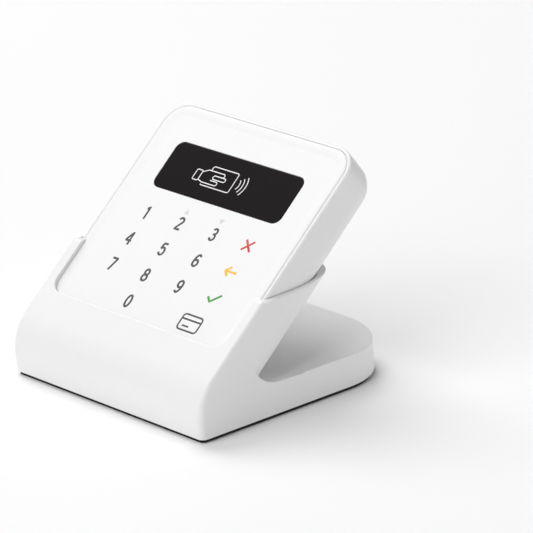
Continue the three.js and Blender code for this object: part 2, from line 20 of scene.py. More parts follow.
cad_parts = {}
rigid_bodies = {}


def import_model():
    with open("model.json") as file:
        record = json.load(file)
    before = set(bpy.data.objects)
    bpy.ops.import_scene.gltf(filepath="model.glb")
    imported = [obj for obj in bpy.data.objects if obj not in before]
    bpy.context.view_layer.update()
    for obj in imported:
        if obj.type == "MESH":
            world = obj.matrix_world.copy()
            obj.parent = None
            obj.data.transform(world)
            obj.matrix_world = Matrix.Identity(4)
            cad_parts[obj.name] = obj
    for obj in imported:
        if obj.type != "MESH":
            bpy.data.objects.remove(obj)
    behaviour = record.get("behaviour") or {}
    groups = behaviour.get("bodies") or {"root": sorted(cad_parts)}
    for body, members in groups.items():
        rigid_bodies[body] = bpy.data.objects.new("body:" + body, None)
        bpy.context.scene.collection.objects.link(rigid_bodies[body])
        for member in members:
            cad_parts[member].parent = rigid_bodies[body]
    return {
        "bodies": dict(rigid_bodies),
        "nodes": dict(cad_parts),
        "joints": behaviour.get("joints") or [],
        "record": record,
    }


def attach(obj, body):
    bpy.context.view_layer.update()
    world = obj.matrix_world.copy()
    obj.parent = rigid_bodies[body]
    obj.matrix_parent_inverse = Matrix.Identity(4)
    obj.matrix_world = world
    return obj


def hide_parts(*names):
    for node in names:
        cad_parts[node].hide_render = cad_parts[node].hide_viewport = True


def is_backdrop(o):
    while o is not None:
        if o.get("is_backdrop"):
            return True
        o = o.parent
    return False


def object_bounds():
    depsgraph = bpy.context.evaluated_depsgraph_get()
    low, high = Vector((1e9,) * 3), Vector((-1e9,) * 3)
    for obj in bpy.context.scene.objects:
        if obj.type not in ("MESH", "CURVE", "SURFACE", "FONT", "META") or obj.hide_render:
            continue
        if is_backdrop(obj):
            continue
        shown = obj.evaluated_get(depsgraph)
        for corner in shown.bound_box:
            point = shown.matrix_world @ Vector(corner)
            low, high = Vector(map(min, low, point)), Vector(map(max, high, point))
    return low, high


MM = 0.001
LOG = logging.getLogger("terminal")

Point = tuple[float, float, float]
Flat = tuple[float, float]
Ring = list[Point]
Colour = tuple[float, float, float]


class Body(Enum):
    """Bodies of the frame that pieces ride on, apart from the keys and pins."""

    CRADLE = "cradle"
    TERMINAL = "terminal"
    BUTTON = "power_button"


class Slot(Enum):
    """Material slots of the record."""

    GLOSS = "white_gloss"
    SATIN = "white_satin"
    INNER = "inner_white"
    WINDOW = "black_gloss"
    BLACK = "black_plastic"
    RUBBER = "black_rubber"
    STEEL = "steel"
    GOLD = "gold"
    BOARD = "board_green"
    FOIL = "amber_foil"
    POUCH = "silver_foil"


# ---------------------------------------------------------------- mesh tools


def steps(count: int) -> list[float]:
    """Return count + 1 even steps from 0 to 1."""
    return [i / count for i in range(count + 1)]


def mesh_object(name: str, points: Sequence[Point], faces: Sequence[Sequence[int]]) -> bpy.types.Object:
    """Make an object from points in millimetres.

    Args:
        name: the piece's name.
        points: corner points, in millimetres.
        faces: corner numbers of each face.

    Returns:
        The object, with doubles merged and its faces pointing outwards.
    """
    mesh = bpy.data.meshes.new(name)
    mesh.from_pydata([tuple(MM * value for value in point) for point in points], [], faces)
    work = bmesh.new()
    work.from_mesh(mesh)
    bmesh.ops.remove_doubles(work, verts=work.verts, dist=1e-7)
    bmesh.ops.dissolve_degenerate(work, edges=work.edges, dist=1e-7)
    bmesh.ops.recalc_face_normals(work, faces=work.faces)
    work.to_mesh(mesh)
    work.free()
    obj = bpy.data.objects.new(name, mesh)
    bpy.context.scene.collection.objects.link(obj)
    return obj


def loft(name: str, rings: Sequence[Ring]) -> bpy.types.Object:
    """Skin a row of rings that have the same number of points, closed by a flat face at both ends."""
    size = len(rings[0])
    points = [point for ring in rings for point in ring]
    faces: list[list[int]] = [list(range(size))]
    for row in range(len(rings) - 1):
        for i in range(size):
            here, after = row * size + i, row * size + (i + 1) % size
            faces.append([here, after, after + size, here + size])
    last = (len(rings) - 1) * size
    faces.append([last + i for i in reversed(range(size))])
    return mesh_object(name, points, faces)


def settle(obj: bpy.types.Object) -> bpy.types.Object:
    """Turn an object's modifiers into plain mesh, and return the object."""
    graph = bpy.context.evaluated_depsgraph_get()
    made = bpy.data.meshes.new_from_object(obj.evaluated_get(graph), preserve_all_data_layers=True, depsgraph=graph)
    obj.modifiers.clear()
    obj.data = made
    return obj


def carve(obj: bpy.types.Object, *cutters: bpy.types.Object) -> bpy.types.Object:
    """Cut closed shapes out of an object, and delete them."""
    for cutter in cutters:
        cut = obj.modifiers.new("cut", "BOOLEAN")
        cut.operation = "DIFFERENCE"
        cut.solver = "EXACT"
        cut.object = cutter
        settle(obj)
        bpy.data.objects.remove(cutter)
    return obj


def triangulated(obj: bpy.types.Object) -> bpy.types.Object:
    """Split faces of more than four corners into triangles, so that cuts treat them all alike."""
    work = bmesh.new()
    work.from_mesh(obj.data)
    bmesh.ops.triangulate(work, faces=[face for face in work.faces if len(face.verts) > 4])
    work.to_mesh(obj.data)
    work.free()
    return obj


def join(obj: bpy.types.Object, *others: bpy.types.Object) -> bpy.types.Object:
    """Add other closed shapes to an object's mesh, and delete them."""
    work = bmesh.new()
    work.from_mesh(obj.data)
    for other in others:
        work.from_mesh(other.data)
        bpy.data.objects.remove(other)
    work.to_mesh(obj.data)
    work.free()
    return obj


def bevel(obj: bpy.types.Object, width: float, angle: float = 40.0, segments: int = 3) -> bpy.types.Object:
    """Round every edge that turns by more than an angle in degrees, by a width in millimetres."""
    work = obj.modifiers.new("bevel", "BEVEL")
    work.width = width * MM
    work.segments = segments
    work.limit_method = "ANGLE"
    work.angle_limit = math.radians(angle)
    work.use_clamp_overlap = True
    return settle(obj)


def smooth(obj: bpy.types.Object, angle: float = 35.0) -> bpy.types.Object:
    """Shade an object smoothly, with flat faces kept flat and sharp edges kept sharp."""
    obj.data.shade_smooth()
    obj.data.set_sharp_from_angle(angle=math.radians(angle))
    weighted = obj.modifiers.new("weighted", "WEIGHTED_NORMAL")
    weighted.keep_sharp = True
    weighted.weight = 100
    return settle(obj)


def arc(centre: Flat, radius: float, start: float, end: float, count: int) -> list[Flat]:
    """Return the points of an arc, with both ends, from start to end in radians."""
    return [
        (centre[0] + radius * math.cos(start + (end - start) * t), centre[1] + radius * math.sin(start + (end - start) * t))
        for t in steps(count)
    ]


def rounded_rectangle(width: float, height: float, radius: float, middle: Flat = (0, 0), count: int = 8) -> list[Flat]:
    """Return the outline of a rectangle with round corners, anticlockwise from the right."""
    half_width, half_height = width / 2 - radius, height / 2 - radius
    corners = [(1, 1), (-1, 1), (-1, -1), (1, -1)]
    outline: list[Flat] = []
    for quarter, (x, y) in enumerate(corners):
        centre = (middle[0] + x * half_width, middle[1] + y * half_height)
        outline += arc(centre, radius, quarter * math.pi / 2, (quarter + 1) * math.pi / 2, count)
    return outline


def cap_faces(outline: Sequence[Flat], holes: Sequence[Sequence[Flat]]) -> tuple[list[Flat], list[list[int]]]:
    """Fill a flat outline that has holes.

    Args:
        outline: the outer edge.
        holes: the edges of the holes.

    Returns:
        The points, outline first and then each hole's in order, and the triangles between them.
    """
    loops = [list(outline), *[list(hole) for hole in holes]]
    points = [Vector(point) for loop in loops for point in loop]
    edges: list[tuple[int, int]] = []
    start = 0
    for loop in loops:
        edges += [(start + i, start + (i + 1) % len(loop)) for i in range(len(loop))]
        start += len(loop)
    done = delaunay_2d_cdt(points, edges, [], 0, 1e-6)
    made, triangles = done[0], done[2]

    def inside(loop: Sequence[Flat], x: float, y: float) -> bool:
        """Say whether a point lies inside a loop."""
        hit = False
        for (x0, y0), (x1, y1) in zip(loop, [*loop[1:], loop[0]]):
            if (y0 > y) != (y1 > y) and x < (x1 - x0) * (y - y0) / (y1 - y0) + x0:
                hit = not hit
        return hit

    kept = []
    for triangle in triangles:
        x = sum(made[i][0] for i in triangle) / 3
        y = sum(made[i][1] for i in triangle) / 3
        if inside(loops[0], x, y) and not any(inside(hole, x, y) for hole in loops[1:]):
            kept.append(list(triangle))
    return [(point[0], point[1]) for point in made], kept


# ---------------------------------------------------------------- shader tools


class Wire:
    """A shader value that can stand in an expression."""

    def __init__(self, paint: "Paint", socket: bpy.types.NodeSocket) -> None:
        """Keep the socket and the paint that it belongs to."""
        self.paint = paint
        self.socket = socket

    def maths(self, operation: str, *values: "Wire | float") -> "Wire":
        """Return a Math node's result."""
        return self.paint.node("ShaderNodeMath", {"operation": operation}, dict(enumerate(values)))

    def __add__(self, other: "Wire | float") -> "Wire":
        """Return the sum."""
        return self.maths("ADD", self, other)

    __radd__ = __add__

    def __mul__(self, other: "Wire | float") -> "Wire":
        """Return the product."""
        return self.maths("MULTIPLY", self, other)

    __rmul__ = __mul__

    def __sub__(self, other: "Wire | float") -> "Wire":
        """Return the difference."""
        return self.maths("SUBTRACT", self, other)

    def __rsub__(self, other: "Wire | float") -> "Wire":
        """Return the difference from a number."""
        return self.maths("SUBTRACT", other, self)

    def power(self, exponent: float) -> "Wire":
        """Return the value to a power."""
        return self.maths("POWER", self, exponent)


class Paint:
    """A material whose nodes are made by code."""

    def __init__(self, name: str) -> None:
        """Make an empty material with one Principled shader."""
        self.material = bpy.data.materials.new(name)
        self.material.use_nodes = True
        self.tree = self.material.node_tree
        self.tree.nodes.clear()
        output = self.tree.nodes.new("ShaderNodeOutputMaterial")
        self.shader = self.tree.nodes.new("ShaderNodeBsdfPrincipled")
        self.tree.links.new(self.shader.outputs[0], output.inputs[0])
        self.place = self.node("ShaderNodeTexCoord", {}, {}, "Object")

    def node(
        self, kind: str, settings: dict[str, object], inputs: dict[object, object], output: str | int = 0
    ) -> Wire:
        """Make a node.

        Args:
            kind: the node's type.
            settings: its own settings, set first.
            inputs: values or wires, by socket name or number.
            output: the socket to return.

        Returns:
            One of its outputs.
        """
        made = self.tree.nodes.new(kind)
        for name, value in settings.items():
            setattr(made, name, value)
        for key, value in inputs.items():
            self.feed(made.inputs[key], value)
        return Wire(self, made.outputs[output])

    def feed(self, socket: bpy.types.NodeSocket, value: object) -> None:
        """Link a wire to a socket, or set the socket's own value."""
        if isinstance(value, Wire):
            self.tree.links.new(value.socket, socket)
        else:
            socket.default_value = value

    def set(self, **values: object) -> None:
        """Set or link the shader's sockets; underscores stand for spaces in their names."""
        for name, value in values.items():
            self.feed(self.shader.inputs[name.replace("_", " ")], value)

    def noise(self, size: float, detail: float = 2.0, roughness: float = 0.5) -> Wire:
        """Return noise with features of a size in millimetres, about 0.5 on average."""
        values = {"Vector": self.place, "Scale": 1 / (size * MM), "Detail": detail, "Roughness": roughness}
        return self.node("ShaderNodeTexNoise", {}, values, "Fac")

    def stretched(self, scale: Point) -> Wire:
        """Return the place, stretched along each axis."""
        return self.node("ShaderNodeMapping", {}, {"Vector": self.place, "Scale": scale}, "Vector")

    def tint(self, factor: Wire, low: Colour, high: Colour) -> Wire:
        """Return a colour between two others."""
        blend = self.node("ShaderNodeMix", {"data_type": "RGBA"}, {"Factor": factor}, 2)
        mix = blend.socket.node
        mix.inputs[6].default_value = (*low, 1)
        mix.inputs[7].default_value = (*high, 1)
        return blend

    def bump(self, height: Wire, depth: float, strength: float = 1.0) -> Wire:
        """Return a normal that is bumped by a height, over a depth in millimetres."""
        values = {"Height": height, "Distance": depth * MM, "Strength": strength}
        return self.node("ShaderNodeBump", {}, values, "Normal")


@dataclass(frozen=True)
class Moulding:
    """Moulded plastic with a fine texture, faint flow marks and uneven gloss."""

    name: str
    colour: Colour
    shade: Colour
    roughness: float
    unevenness: float = 0.05
    grain: float = 0.35
    grain_depth: float = 0.002
    specular: float = 0.5
    coat: float = 0.0

    def material(self) -> bpy.types.Material:
        """Return the material."""
        paint = Paint(self.name)
        cloud = paint.noise(38, 3)
        mottle = paint.noise(6, 4, 0.6)
        grain = paint.noise(self.grain, 3, 0.6)
        paint.set(
            Base_Color=paint.tint(cloud * 0.6 + mottle * 0.4, self.shade, self.colour),
            Roughness=mottle * (2 * self.unevenness) + (self.roughness - self.unevenness),
            Normal=paint.bump(grain, self.grain_depth),
            Specular_IOR_Level=self.specular,
            Coat_Weight=self.coat,
            Coat_Roughness=0.12,
        )
        return paint.material


@dataclass(frozen=True)
class Ink:
    """Printed ink: nearly even, with the faint breakup of screen printing."""

    name: str
    colour: Colour
    glow: float = 0.0

    def material(self) -> bpy.types.Material:
        """Return the material."""
        paint = Paint(self.name)
        speck = paint.noise(0.12, 2)
        worn = tuple(min(1.0, value * 1.18 + 0.01) for value in self.colour)
        paint.set(
            Base_Color=paint.tint(speck, self.colour, worn),
            Roughness=speck * 0.12 + 0.42,
            Emission_Color=(*self.colour, 1),
            Emission_Strength=self.glow,
        )
        return paint.material


@dataclass(frozen=True)
class Metal:
    """Plated metal with fine lines drawn along one axis."""

    name: str
    colour: Colour
    shade: Colour
    roughness: float
    stretch: Point = (1.0, 14.0, 14.0)

    def material(self) -> bpy.types.Material:
        """Return the material."""
        paint = Paint(self.name)
        place = paint.stretched(self.stretch)
        lines = paint.node("ShaderNodeTexNoise", {}, {"Vector": place, "Scale": 400.0, "Detail": 3.0}, "Fac")
        cloud = paint.noise(5, 3)
        paint.set(
            Base_Color=paint.tint(cloud, self.shade, self.colour),
            Metallic=1.0,
            Roughness=lines * 0.16 + (self.roughness - 0.08),
            Normal=paint.bump(lines, 0.002),
        )
        return paint.material


@dataclass(frozen=True)
class Board:
    """Circuit board: solder mask over tracks that show as fine raised lines."""

    name: str = "solder_mask"

    def material(self) -> bpy.types.Material:
        """Return the material."""
        paint = Paint(self.name)
        cells = {"Vector": paint.place, "Scale": 420.0, "Randomness": 0.25}
        tracks = paint.node("ShaderNodeTexVoronoi", {"feature": "DISTANCE_TO_EDGE"}, cells, "Distance")
        edge = paint.node(
            "ShaderNodeMapRange", {"clamp": True}, {"Value": tracks, "From Min": 0.03, "From Max": 0.09}, "Result"
        )
        paint.set(
            Base_Color=paint.tint(edge, (0.03, 0.22, 0.09), (0.012, 0.10, 0.045)),
            Roughness=paint.noise(2) * 0.12 + 0.3,
            Normal=paint.bump(1 - edge, 0.03),
        )
        return paint.material


@dataclass(frozen=True)
class Rubber:
    """Matt black silicone with a fine sandy surface."""

    name: str = "sole_rubber"

    def material(self) -> bpy.types.Material:
        """Return the material."""
        paint = Paint(self.name)
        sand = paint.noise(0.25, 3, 0.7)
        paint.set(
            Base_Color=paint.tint(sand, (0.006, 0.006, 0.006), (0.014, 0.014, 0.014)),
            Roughness=sand * 0.15 + 0.72,
            Normal=paint.bump(sand, 0.03),
            Specular_IOR_Level=0.3,
        )
        return paint.material


@dataclass
class Finishes:
    """Every material of the model, made once."""

    gloss: bpy.types.Material = field(init=False)
    satin: bpy.types.Material = field(init=False)
    inner: bpy.types.Material = field(init=False)
    window: bpy.types.Material = field(init=False)
    black: bpy.types.Material = field(init=False)
    rubber: bpy.types.Material = field(init=False)
    steel: bpy.types.Material = field(init=False)
    gold: bpy.types.Material = field(init=False)
    board: bpy.types.Material = field(init=False)
    foil: bpy.types.Material = field(init=False)
    pouch: bpy.types.Material = field(init=False)
    inks: dict[str, bpy.types.Material] = field(init=False)

    def __post_init__(self) -> None:
        """Make the materials."""
        white, shade = (0.86, 0.865, 0.86), (0.835, 0.84, 0.835)
        self.gloss = Moulding("gloss_white", white, shade, 0.34, grain=0.6, grain_depth=0.0012).material()
        self.satin = Moulding("satin_white", (0.87, 0.872, 0.87), (0.85, 0.852, 0.85), 0.44).material()
        self.inner = Moulding("inner_white", (0.78, 0.78, 0.77), (0.74, 0.74, 0.73), 0.5).material()
        self.window = Moulding(
            "window_black", (0.014, 0.0115, 0.012), (0.011, 0.009, 0.0095), 0.11, 0.015, 4.0, 0.0004, specular=0.25
        ).material()
        self.black = Moulding("black_plastic", (0.022, 0.022, 0.023), (0.014, 0.014, 0.015), 0.5).material()
        self.rubber = Rubber().material()
        self.steel = Metal("steel", (0.66, 0.66, 0.68), (0.56, 0.56, 0.58), 0.28).material()
        self.gold = Metal("gold_plate", (0.90, 0.66, 0.28), (0.80, 0.56, 0.22), 0.2).material()
        self.board = Board().material()
        self.foil = Moulding("polyimide", (0.42, 0.20, 0.04), (0.34, 0.15, 0.03), 0.3, grain=1.2).material()
        self.pouch = Metal("pouch_foil", (0.62, 0.63, 0.65), (0.5, 0.51, 0.53), 0.36).material()
        colours = {
            "dark": (0.062, 0.062, 0.062),
            "red": (0.61, 0.036, 0.026),
            "amber": (0.84, 0.46, 0.02),
            "green": (0.05, 0.30, 0.035),
            "grey": (0.60, 0.60, 0.60),
        }
        self.inks = {name: Ink(f"ink_{name}", colour).material() for name, colour in colours.items()}
        self.inks["lit"] = Ink("display_light", (0.72, 0.72, 0.74), 0.12).material()

    def dress(self, obj: bpy.types.Object, material: bpy.types.Material) -> bpy.types.Object:
        """Give a piece one material."""
        obj.data.materials.clear()
        obj.data.materials.append(material)
        return obj


# ---------------------------------------------------------------- shapes


@dataclass(frozen=True)
class Seat:
    """The tilted frame of the terminal: across it, up its face, and out of its face."""

    tilt: float = math.radians(41.8)
    y: float = -5.9
    z: float = 50.3

    def place(self, across: float, up: float, out: float) -> Point:
        """Return a point of the terminal's frame in the model's frame."""
        return (
            across,
            self.y + up * math.cos(self.tilt) - out * math.sin(self.tilt),
            self.z + up * math.sin(self.tilt) + out * math.cos(self.tilt),
        )

    def lay(self, outline: Iterable[Flat], out: float) -> Ring:
        """Return a flat outline as points at one distance out of the face."""
        return [self.place(x, up, out) for x, up in outline]

    def height_at(self, y: float, ahead: float) -> float:
        """Return the height of a point that lies a distance ahead of the face."""
        return self.z + (ahead + (y - self.y) * math.sin(self.tilt)) / math.cos(self.tilt)

    def depth_at(self, z: float, ahead: float) -> float:
        """Return the depth of a point that lies a distance ahead of the face."""
        return self.y + ((z - self.z) * math.cos(self.tilt) - ahead) / math.sin(self.tilt)


@dataclass(frozen=True)
class Cradle:
    """The charging cradle: tray, apron and foot in one moulding, on a thin sole."""

    seat: Seat
    finishes: Finishes
    width: float = 87
    depth: float = 93.4
    bottom: float = 1.3
    foot_top: float = 12
    rim: float = 40.7
    rim_rise: float = 0.042
    wall: float = 2.1
    lip_proud: float = 1.4
    tray_back: float = 22
    tray_edge: float = 12
    notch: tuple[float, float, float] = (-12, 25, 13)
    block_notch: tuple[float, float, float] = (3.9, 19.5, 7.5)
    block_cover: Flat = (14, 20)
    opening: float = 39.4
    lip_edge: float = -36.4
    lip_corner: float = 5
    apron_radius: float = 16
    apron_tuck: float = math.radians(9)
    front_corner: float = 2.2
    slope_edge: float = 1.0
    rim_round: float = 0.6
    foot_edge: float = 0.4
    rear_corner: float = 26
    rear_lean: float = 1.5
    screws: tuple[Flat, ...] = ((36.2, -39.2), (-36.2, -39.2), (33.5, 22), (-33.5, 22))

    def edge_pull(self, distance: float, radius: float) -> float:
        """Return how far a round edge draws a surface in, at a distance from the side."""
        if distance >= radius:
            return 0.0
        return radius - math.sqrt(radius**2 - (radius - distance) ** 2)

    def rim_point(self, ahead: float, drop: float) -> Flat:
        """Return where a line at a distance ahead of the face meets the tray's edge, lowered by a drop."""
        level = self.rim - drop
        y = self.seat.depth_at(level, ahead) / (1 - self.rim_rise / math.tan(self.seat.tilt))
        return y, level + self.rim_rise * y

    def notch_side(self, x: float, turn: float, inset: float, back: float) -> list[Flat]:
        """Return the hollow between tray and foot, from the tray's back to the foot's top.

        Args:
            x: place across the cradle; the hollow is tighter over the contact block.
            turn: angle round the corners; the crease is softest in the middle.
            inset: how far the wall lies inside the outer one.
            back: how far the tray's back lies behind the face.
        """
        near, far = self.block_cover
        share = min(max((x + inset - near) / (far - near), 0), 1)
        y0, z0, size = (a + (b - a) * share for a, b in zip(self.block_notch, self.notch))
        size += inset
        sin, cos = math.sin(self.seat.tilt), math.cos(self.seat.tilt)
        off = inset - back - ((z0 - self.seat.z) * cos - (y0 - self.seat.y) * sin)
        along = math.sqrt(max(size**2 - off**2, 0))
        start = (y0 - off * sin - along * cos, z0 + off * cos - along * sin)
        first = math.atan2(start[1] - z0, start[0] - y0) % (2 * math.pi)
        last = 1.5 * math.pi
        soft = min(0.3 + 2.2 * math.cos(turn), 0.75 * (last - first) * size)
        above = (start[0] + soft * cos, start[1] + soft * sin)
        join_at = first + soft / size
        below = (y0 + size * math.cos(join_at), z0 + size * math.sin(join_at))
        made = [
            tuple((1 - t) ** 2 * a + 2 * t * (1 - t) * b + t**2 * c for a, b, c in zip(above, start, below))
            for t in steps(6)
        ]
        for t in steps(8)[1:]:
            angle = join_at + (last - join_at) * t
            made.append((y0 + size * math.cos(angle), z0 + size * math.sin(angle)))
        return made

    def side_view(self, reach: float, turn: float, inset: float, bottom: float) -> Ring:
        """Return the outline of one slice across the cradle.

        Args:
            reach: 0 at the middle, 1 where the corners begin.
            turn: angle round the corners, 0 to a right angle at the side.
            inset: how far every wall lies inside the outer one.
            bottom: the lowest level.
        """
        seat, half = self.seat, self.width / 2 - inset
        slope = math.pi / 2 + seat.tilt
        front, rear = -self.depth / 2, self.depth / 2

        def across(radius: float) -> tuple[float, float]:
            """Return where the slice crosses a wall with that corner radius, and how far it is drawn in."""
            radius = max(radius - inset, 0.02)
            return reach * (half - radius) + radius * math.sin(turn), radius * (1 - math.cos(turn))

        ring: Ring = []
        apron_y = front + self.apron_radius
        apron_z = seat.height_at(apron_y, self.lip_proud - self.apron_radius)
        start = math.pi + self.apron_tuck
        for t in [-1.0, *steps(16)]:
            radius = self.front_corner + (self.slope_edge - self.front_corner) * max(t, 0)
            x, pull = across(radius)
            size = self.apron_radius - inset - pull
            angle = start + (slope - start) * max(t, 0)
            y, z = apron_y + size * math.cos(angle), apron_z + size * math.sin(angle)
            if t < 0:
                y, z = y + (z - bottom) * math.tan(self.apron_tuck), bottom
            ring.append((x, y, z))

        x, pull = across(self.slope_edge)
        size = self.rim_round
        cos, sin = math.cos(seat.tilt), math.sin(seat.tilt)
        corner_y, level = self.rim_point(self.lip_proud - inset - pull, inset + pull)
        before = (corner_y - size * cos, level - size * sin)
        after = (corner_y + size, level + size * self.rim_rise)
        for t in steps(5):
            y = (1 - t) ** 2 * before[0] + 2 * t * (1 - t) * corner_y + t**2 * after[0]
            z = (1 - t) ** 2 * before[1] + 2 * t * (1 - t) * level + t**2 * after[1]
            ring.append((x, y, z))

        wide = max(self.tray_edge - inset, 0.02)
        x = reach * (half - wide) + wide * math.sin(turn)
        back = self.tray_back - self.tray_edge * (1 - math.cos(turn))
        corner_y, level = self.rim_point(inset - back, inset + self.edge_pull(half - x, self.slope_edge))
        before = (corner_y - size, level - size * self.rim_rise)
        after = (corner_y - size * cos, level - size * sin)
        for t in steps(5):
            y = (1 - t) ** 2 * before[0] + 2 * t * (1 - t) * corner_y + t**2 * after[0]
            z = (1 - t) ** 2 * before[1] + 2 * t * (1 - t) * level + t**2 * after[1]
            ring.append((x, y, z))

        hollow = self.notch_side(x, turn, inset, back)
        for t, (y, z) in zip(steps(len(hollow) - 1), hollow):
            ring.append((x, y, z - self.edge_pull(half - x, self.foot_edge) * t * t))
        notch_y = hollow[-1][0]

        x, pull = across(self.foot_edge)
        for t in steps(3)[1:]:
            y = notch_y + (rear - self.rear_corner - notch_y) * t * 0.97
            ring.append((x, y, self.foot_top - inset - pull))

        for angle in [math.pi / 2 * t for t in steps(4)]:
            trim = self.foot_edge * (1 - math.sin(angle))
            z = self.foot_top - inset - self.foot_edge * (1 - math.cos(angle))
            radius = self.rear_corner - inset - trim
            lean = self.rear_lean * (z - self.bottom) / (self.foot_top - self.bottom)
            x = reach * (half - self.rear_corner + inset) + radius * math.sin(turn)
            y = rear - self.rear_corner + (radius - lean) * math.cos(turn)
            ring.append((x, y, z))
        radius = self.rear_corner - inset
        ring.append((reach * (half - radius) + radius * math.sin(turn), rear - self.rear_corner + radius * math.cos(turn), bottom))
        return ring

    def body(self, name: str, inset: float, bottom: float, count: int) -> bpy.types.Object:
        """Return the cradle's body without its pocket, drawn in by an inset."""
        near, far = self.block_cover
        flat = self.width / 2 - self.tray_edge
        places = [0, *[near - inset + (far - near) * t for t in steps(4)]]
        right = [self.side_view(x / flat, 0, inset, bottom) for x in places]
        right += [self.side_view(1, math.pi / 2 * t, inset, bottom) for t in steps(count)]
        left = [[(-x, y, z) for x, y, z in ring] for ring in reversed(right[1:])]
        return triangulated(loft(name, [*left, *right]))

    def pocket(self) -> bpy.types.Object:
        """Return the space that is cut from the tray and its front face for the terminal."""
        gap, side, thick, corner, back_edge = 0.3, 84, 18.6, 9.5, 9
        above, soft, lip_gap = 40, 0.35, 0.08
        rings: list[Ring] = []

        def outline(half: float, low: float, radius: float) -> list[Flat]:
            """Return a tall outline, open past the rim, whose lower edge is at a level."""
            high = side / 2 + above
            return rounded_rectangle(2 * half, high - low, radius, (0, (high + low) / 2), 12)

        half, floor = side / 2 + gap, -side / 2 - gap
        size = back_edge + gap
        for angle in [math.pi / 2 * t for t in steps(8)]:
            draw = size * (1 - math.sin(angle))
            out = -thick - gap + size * (1 - math.cos(angle))
            rings.append(self.seat.lay(outline(half - draw, floor + draw, corner + gap - draw), out))
        rings.append(self.seat.lay(outline(half, floor, corner + gap), lip_gap))
        rings.append(self.seat.lay(outline(self.opening, self.lip_edge, self.lip_corner), lip_gap))
        for angle in [math.pi / 2 * t for t in steps(5)]:
            grow = soft * (1 - math.cos(angle))
            out = self.lip_proud - soft * (1 - math.sin(angle))
            rings.append(self.seat.lay(outline(self.opening + grow, self.lip_edge - grow, self.lip_corner + grow), out))
        rings.append(self.seat.lay(outline(self.opening + soft, self.lip_edge - soft, self.lip_corner + soft), 9))
        return loft("pocket", rings)

    def hollow(self) -> bpy.types.Object:
        """Return the space under the tray and in the foot, open at the bottom."""
        space = self.body("hollow", self.wall, self.bottom - 1, 8)
        side, thick, grow, edge = 84, 18.6, 2.1, 11.1
        kept = []
        for angle in [math.pi / 2 * t for t in steps(6)]:
            draw = edge * (1 - math.sin(angle))
            width, low, high = side + 2 * (grow - draw), draw - side / 2 - grow, 90
            outline = rounded_rectangle(width, high - low, max(11.6 - draw, 0.5), (0, (high + low) / 2), 8)
            kept.append(self.seat.lay(outline, edge * (1 - math.cos(angle)) - thick - grow))
        kept.append([(x, y - math.sin(self.seat.tilt) * 13.6, z + math.cos(self.seat.tilt) * 13.6) for x, y, z in kept[-1]])
        solids = [loft("kept_tray", kept)]
        for x, y in self.screws:
            ring = arc((x, y), 3.2, 0, 2 * math.pi, 24)[1:]
            solids.append(loft("kept_boss", [[(px, py, z) for px, py in ring] for z in (3.4, 30)]))
        return carve(space, *solids)

    def round_rim(self, shell: bpy.types.Object) -> None:
        """Round the edges where the pocket breaks out of the rim."""
        work = bmesh.new()
        work.from_mesh(shell.data)
        level = (self.rim - 0.02) * MM
        edges = [
            edge
            for edge in work.edges
            if len(edge.link_faces) == 2
            and all(vertex.co.z - self.rim_rise * vertex.co.y > level for vertex in edge.verts)
            and edge.calc_face_angle(0) > math.radians(30)
        ]
        bmesh.ops.bevel(
            work, geom=edges, offset=0.45 * MM, segments=4, profile=0.5, affect="EDGES", clamp_overlap=True
        )
        bmesh.ops.remove_doubles(work, verts=work.verts, dist=0.003 * MM)
        work.to_mesh(shell.data)
        work.free()

    def shell(self) -> bpy.types.Object:
        """Build the cradle's moulding."""
        shell = self.body("cradle_moulding", 0, self.bottom, 14)
        carve(shell, self.pocket())
        self.round_rim(shell)
        seat = self.seat
        ports = [
            loft("nose_port", [seat.lay(rounded_rectangle(20, 5, 0.8, (0, -31), 4), out) for out in (-26, -15)]),
            box("usb_port", (-4.6, 40.7, 4.1), (4.6, 47.7, 8.0)),
        ]
        for x, y in self.screws:
            ring = arc((x, y), 1.3, 0, 2 * math.pi, 16)[1:]
            ports.append(loft("screw_hole", [[(px, py, z) for px, py in ring] for z in (0, 10.6)]))
        return carve(shell, self.hollow(), *ports)

    def sole(self) -> bpy.types.Object:
        """Build the thin rubber sole under the cradle."""
        rings = []
        for inset, level in ((0.85, 0.0), (0.7, 0.15), (0.7, 1.1), (0.85, 1.25)):
            right = [self.side_view(reach, 0, inset, level) for reach in (0, 0.5)]
            right += [self.side_view(1, math.pi / 2 * t, inset, level) for t in steps(14)]
            front = [ring[0] for ring in right]
            rear = [ring[-1] for ring in right]
            half = [*front, *reversed(rear)]
            rings.append([*half, *[(-x, y, z) for x, y, z in reversed(half[1:-1])]])
        return loft("sole", rings)


def box(name: str, low: Point, high: Point) -> bpy.types.Object:
    """Return a plain block, used only to cut or to start a piece."""
    (x0, y0, z0), (x1, y1, z1) = low, high
    rings = [[(x0, y0, z), (x1, y0, z), (x1, y1, z), (x0, y1, z)] for z in (z0, z1)]
    return loft(name, rings)


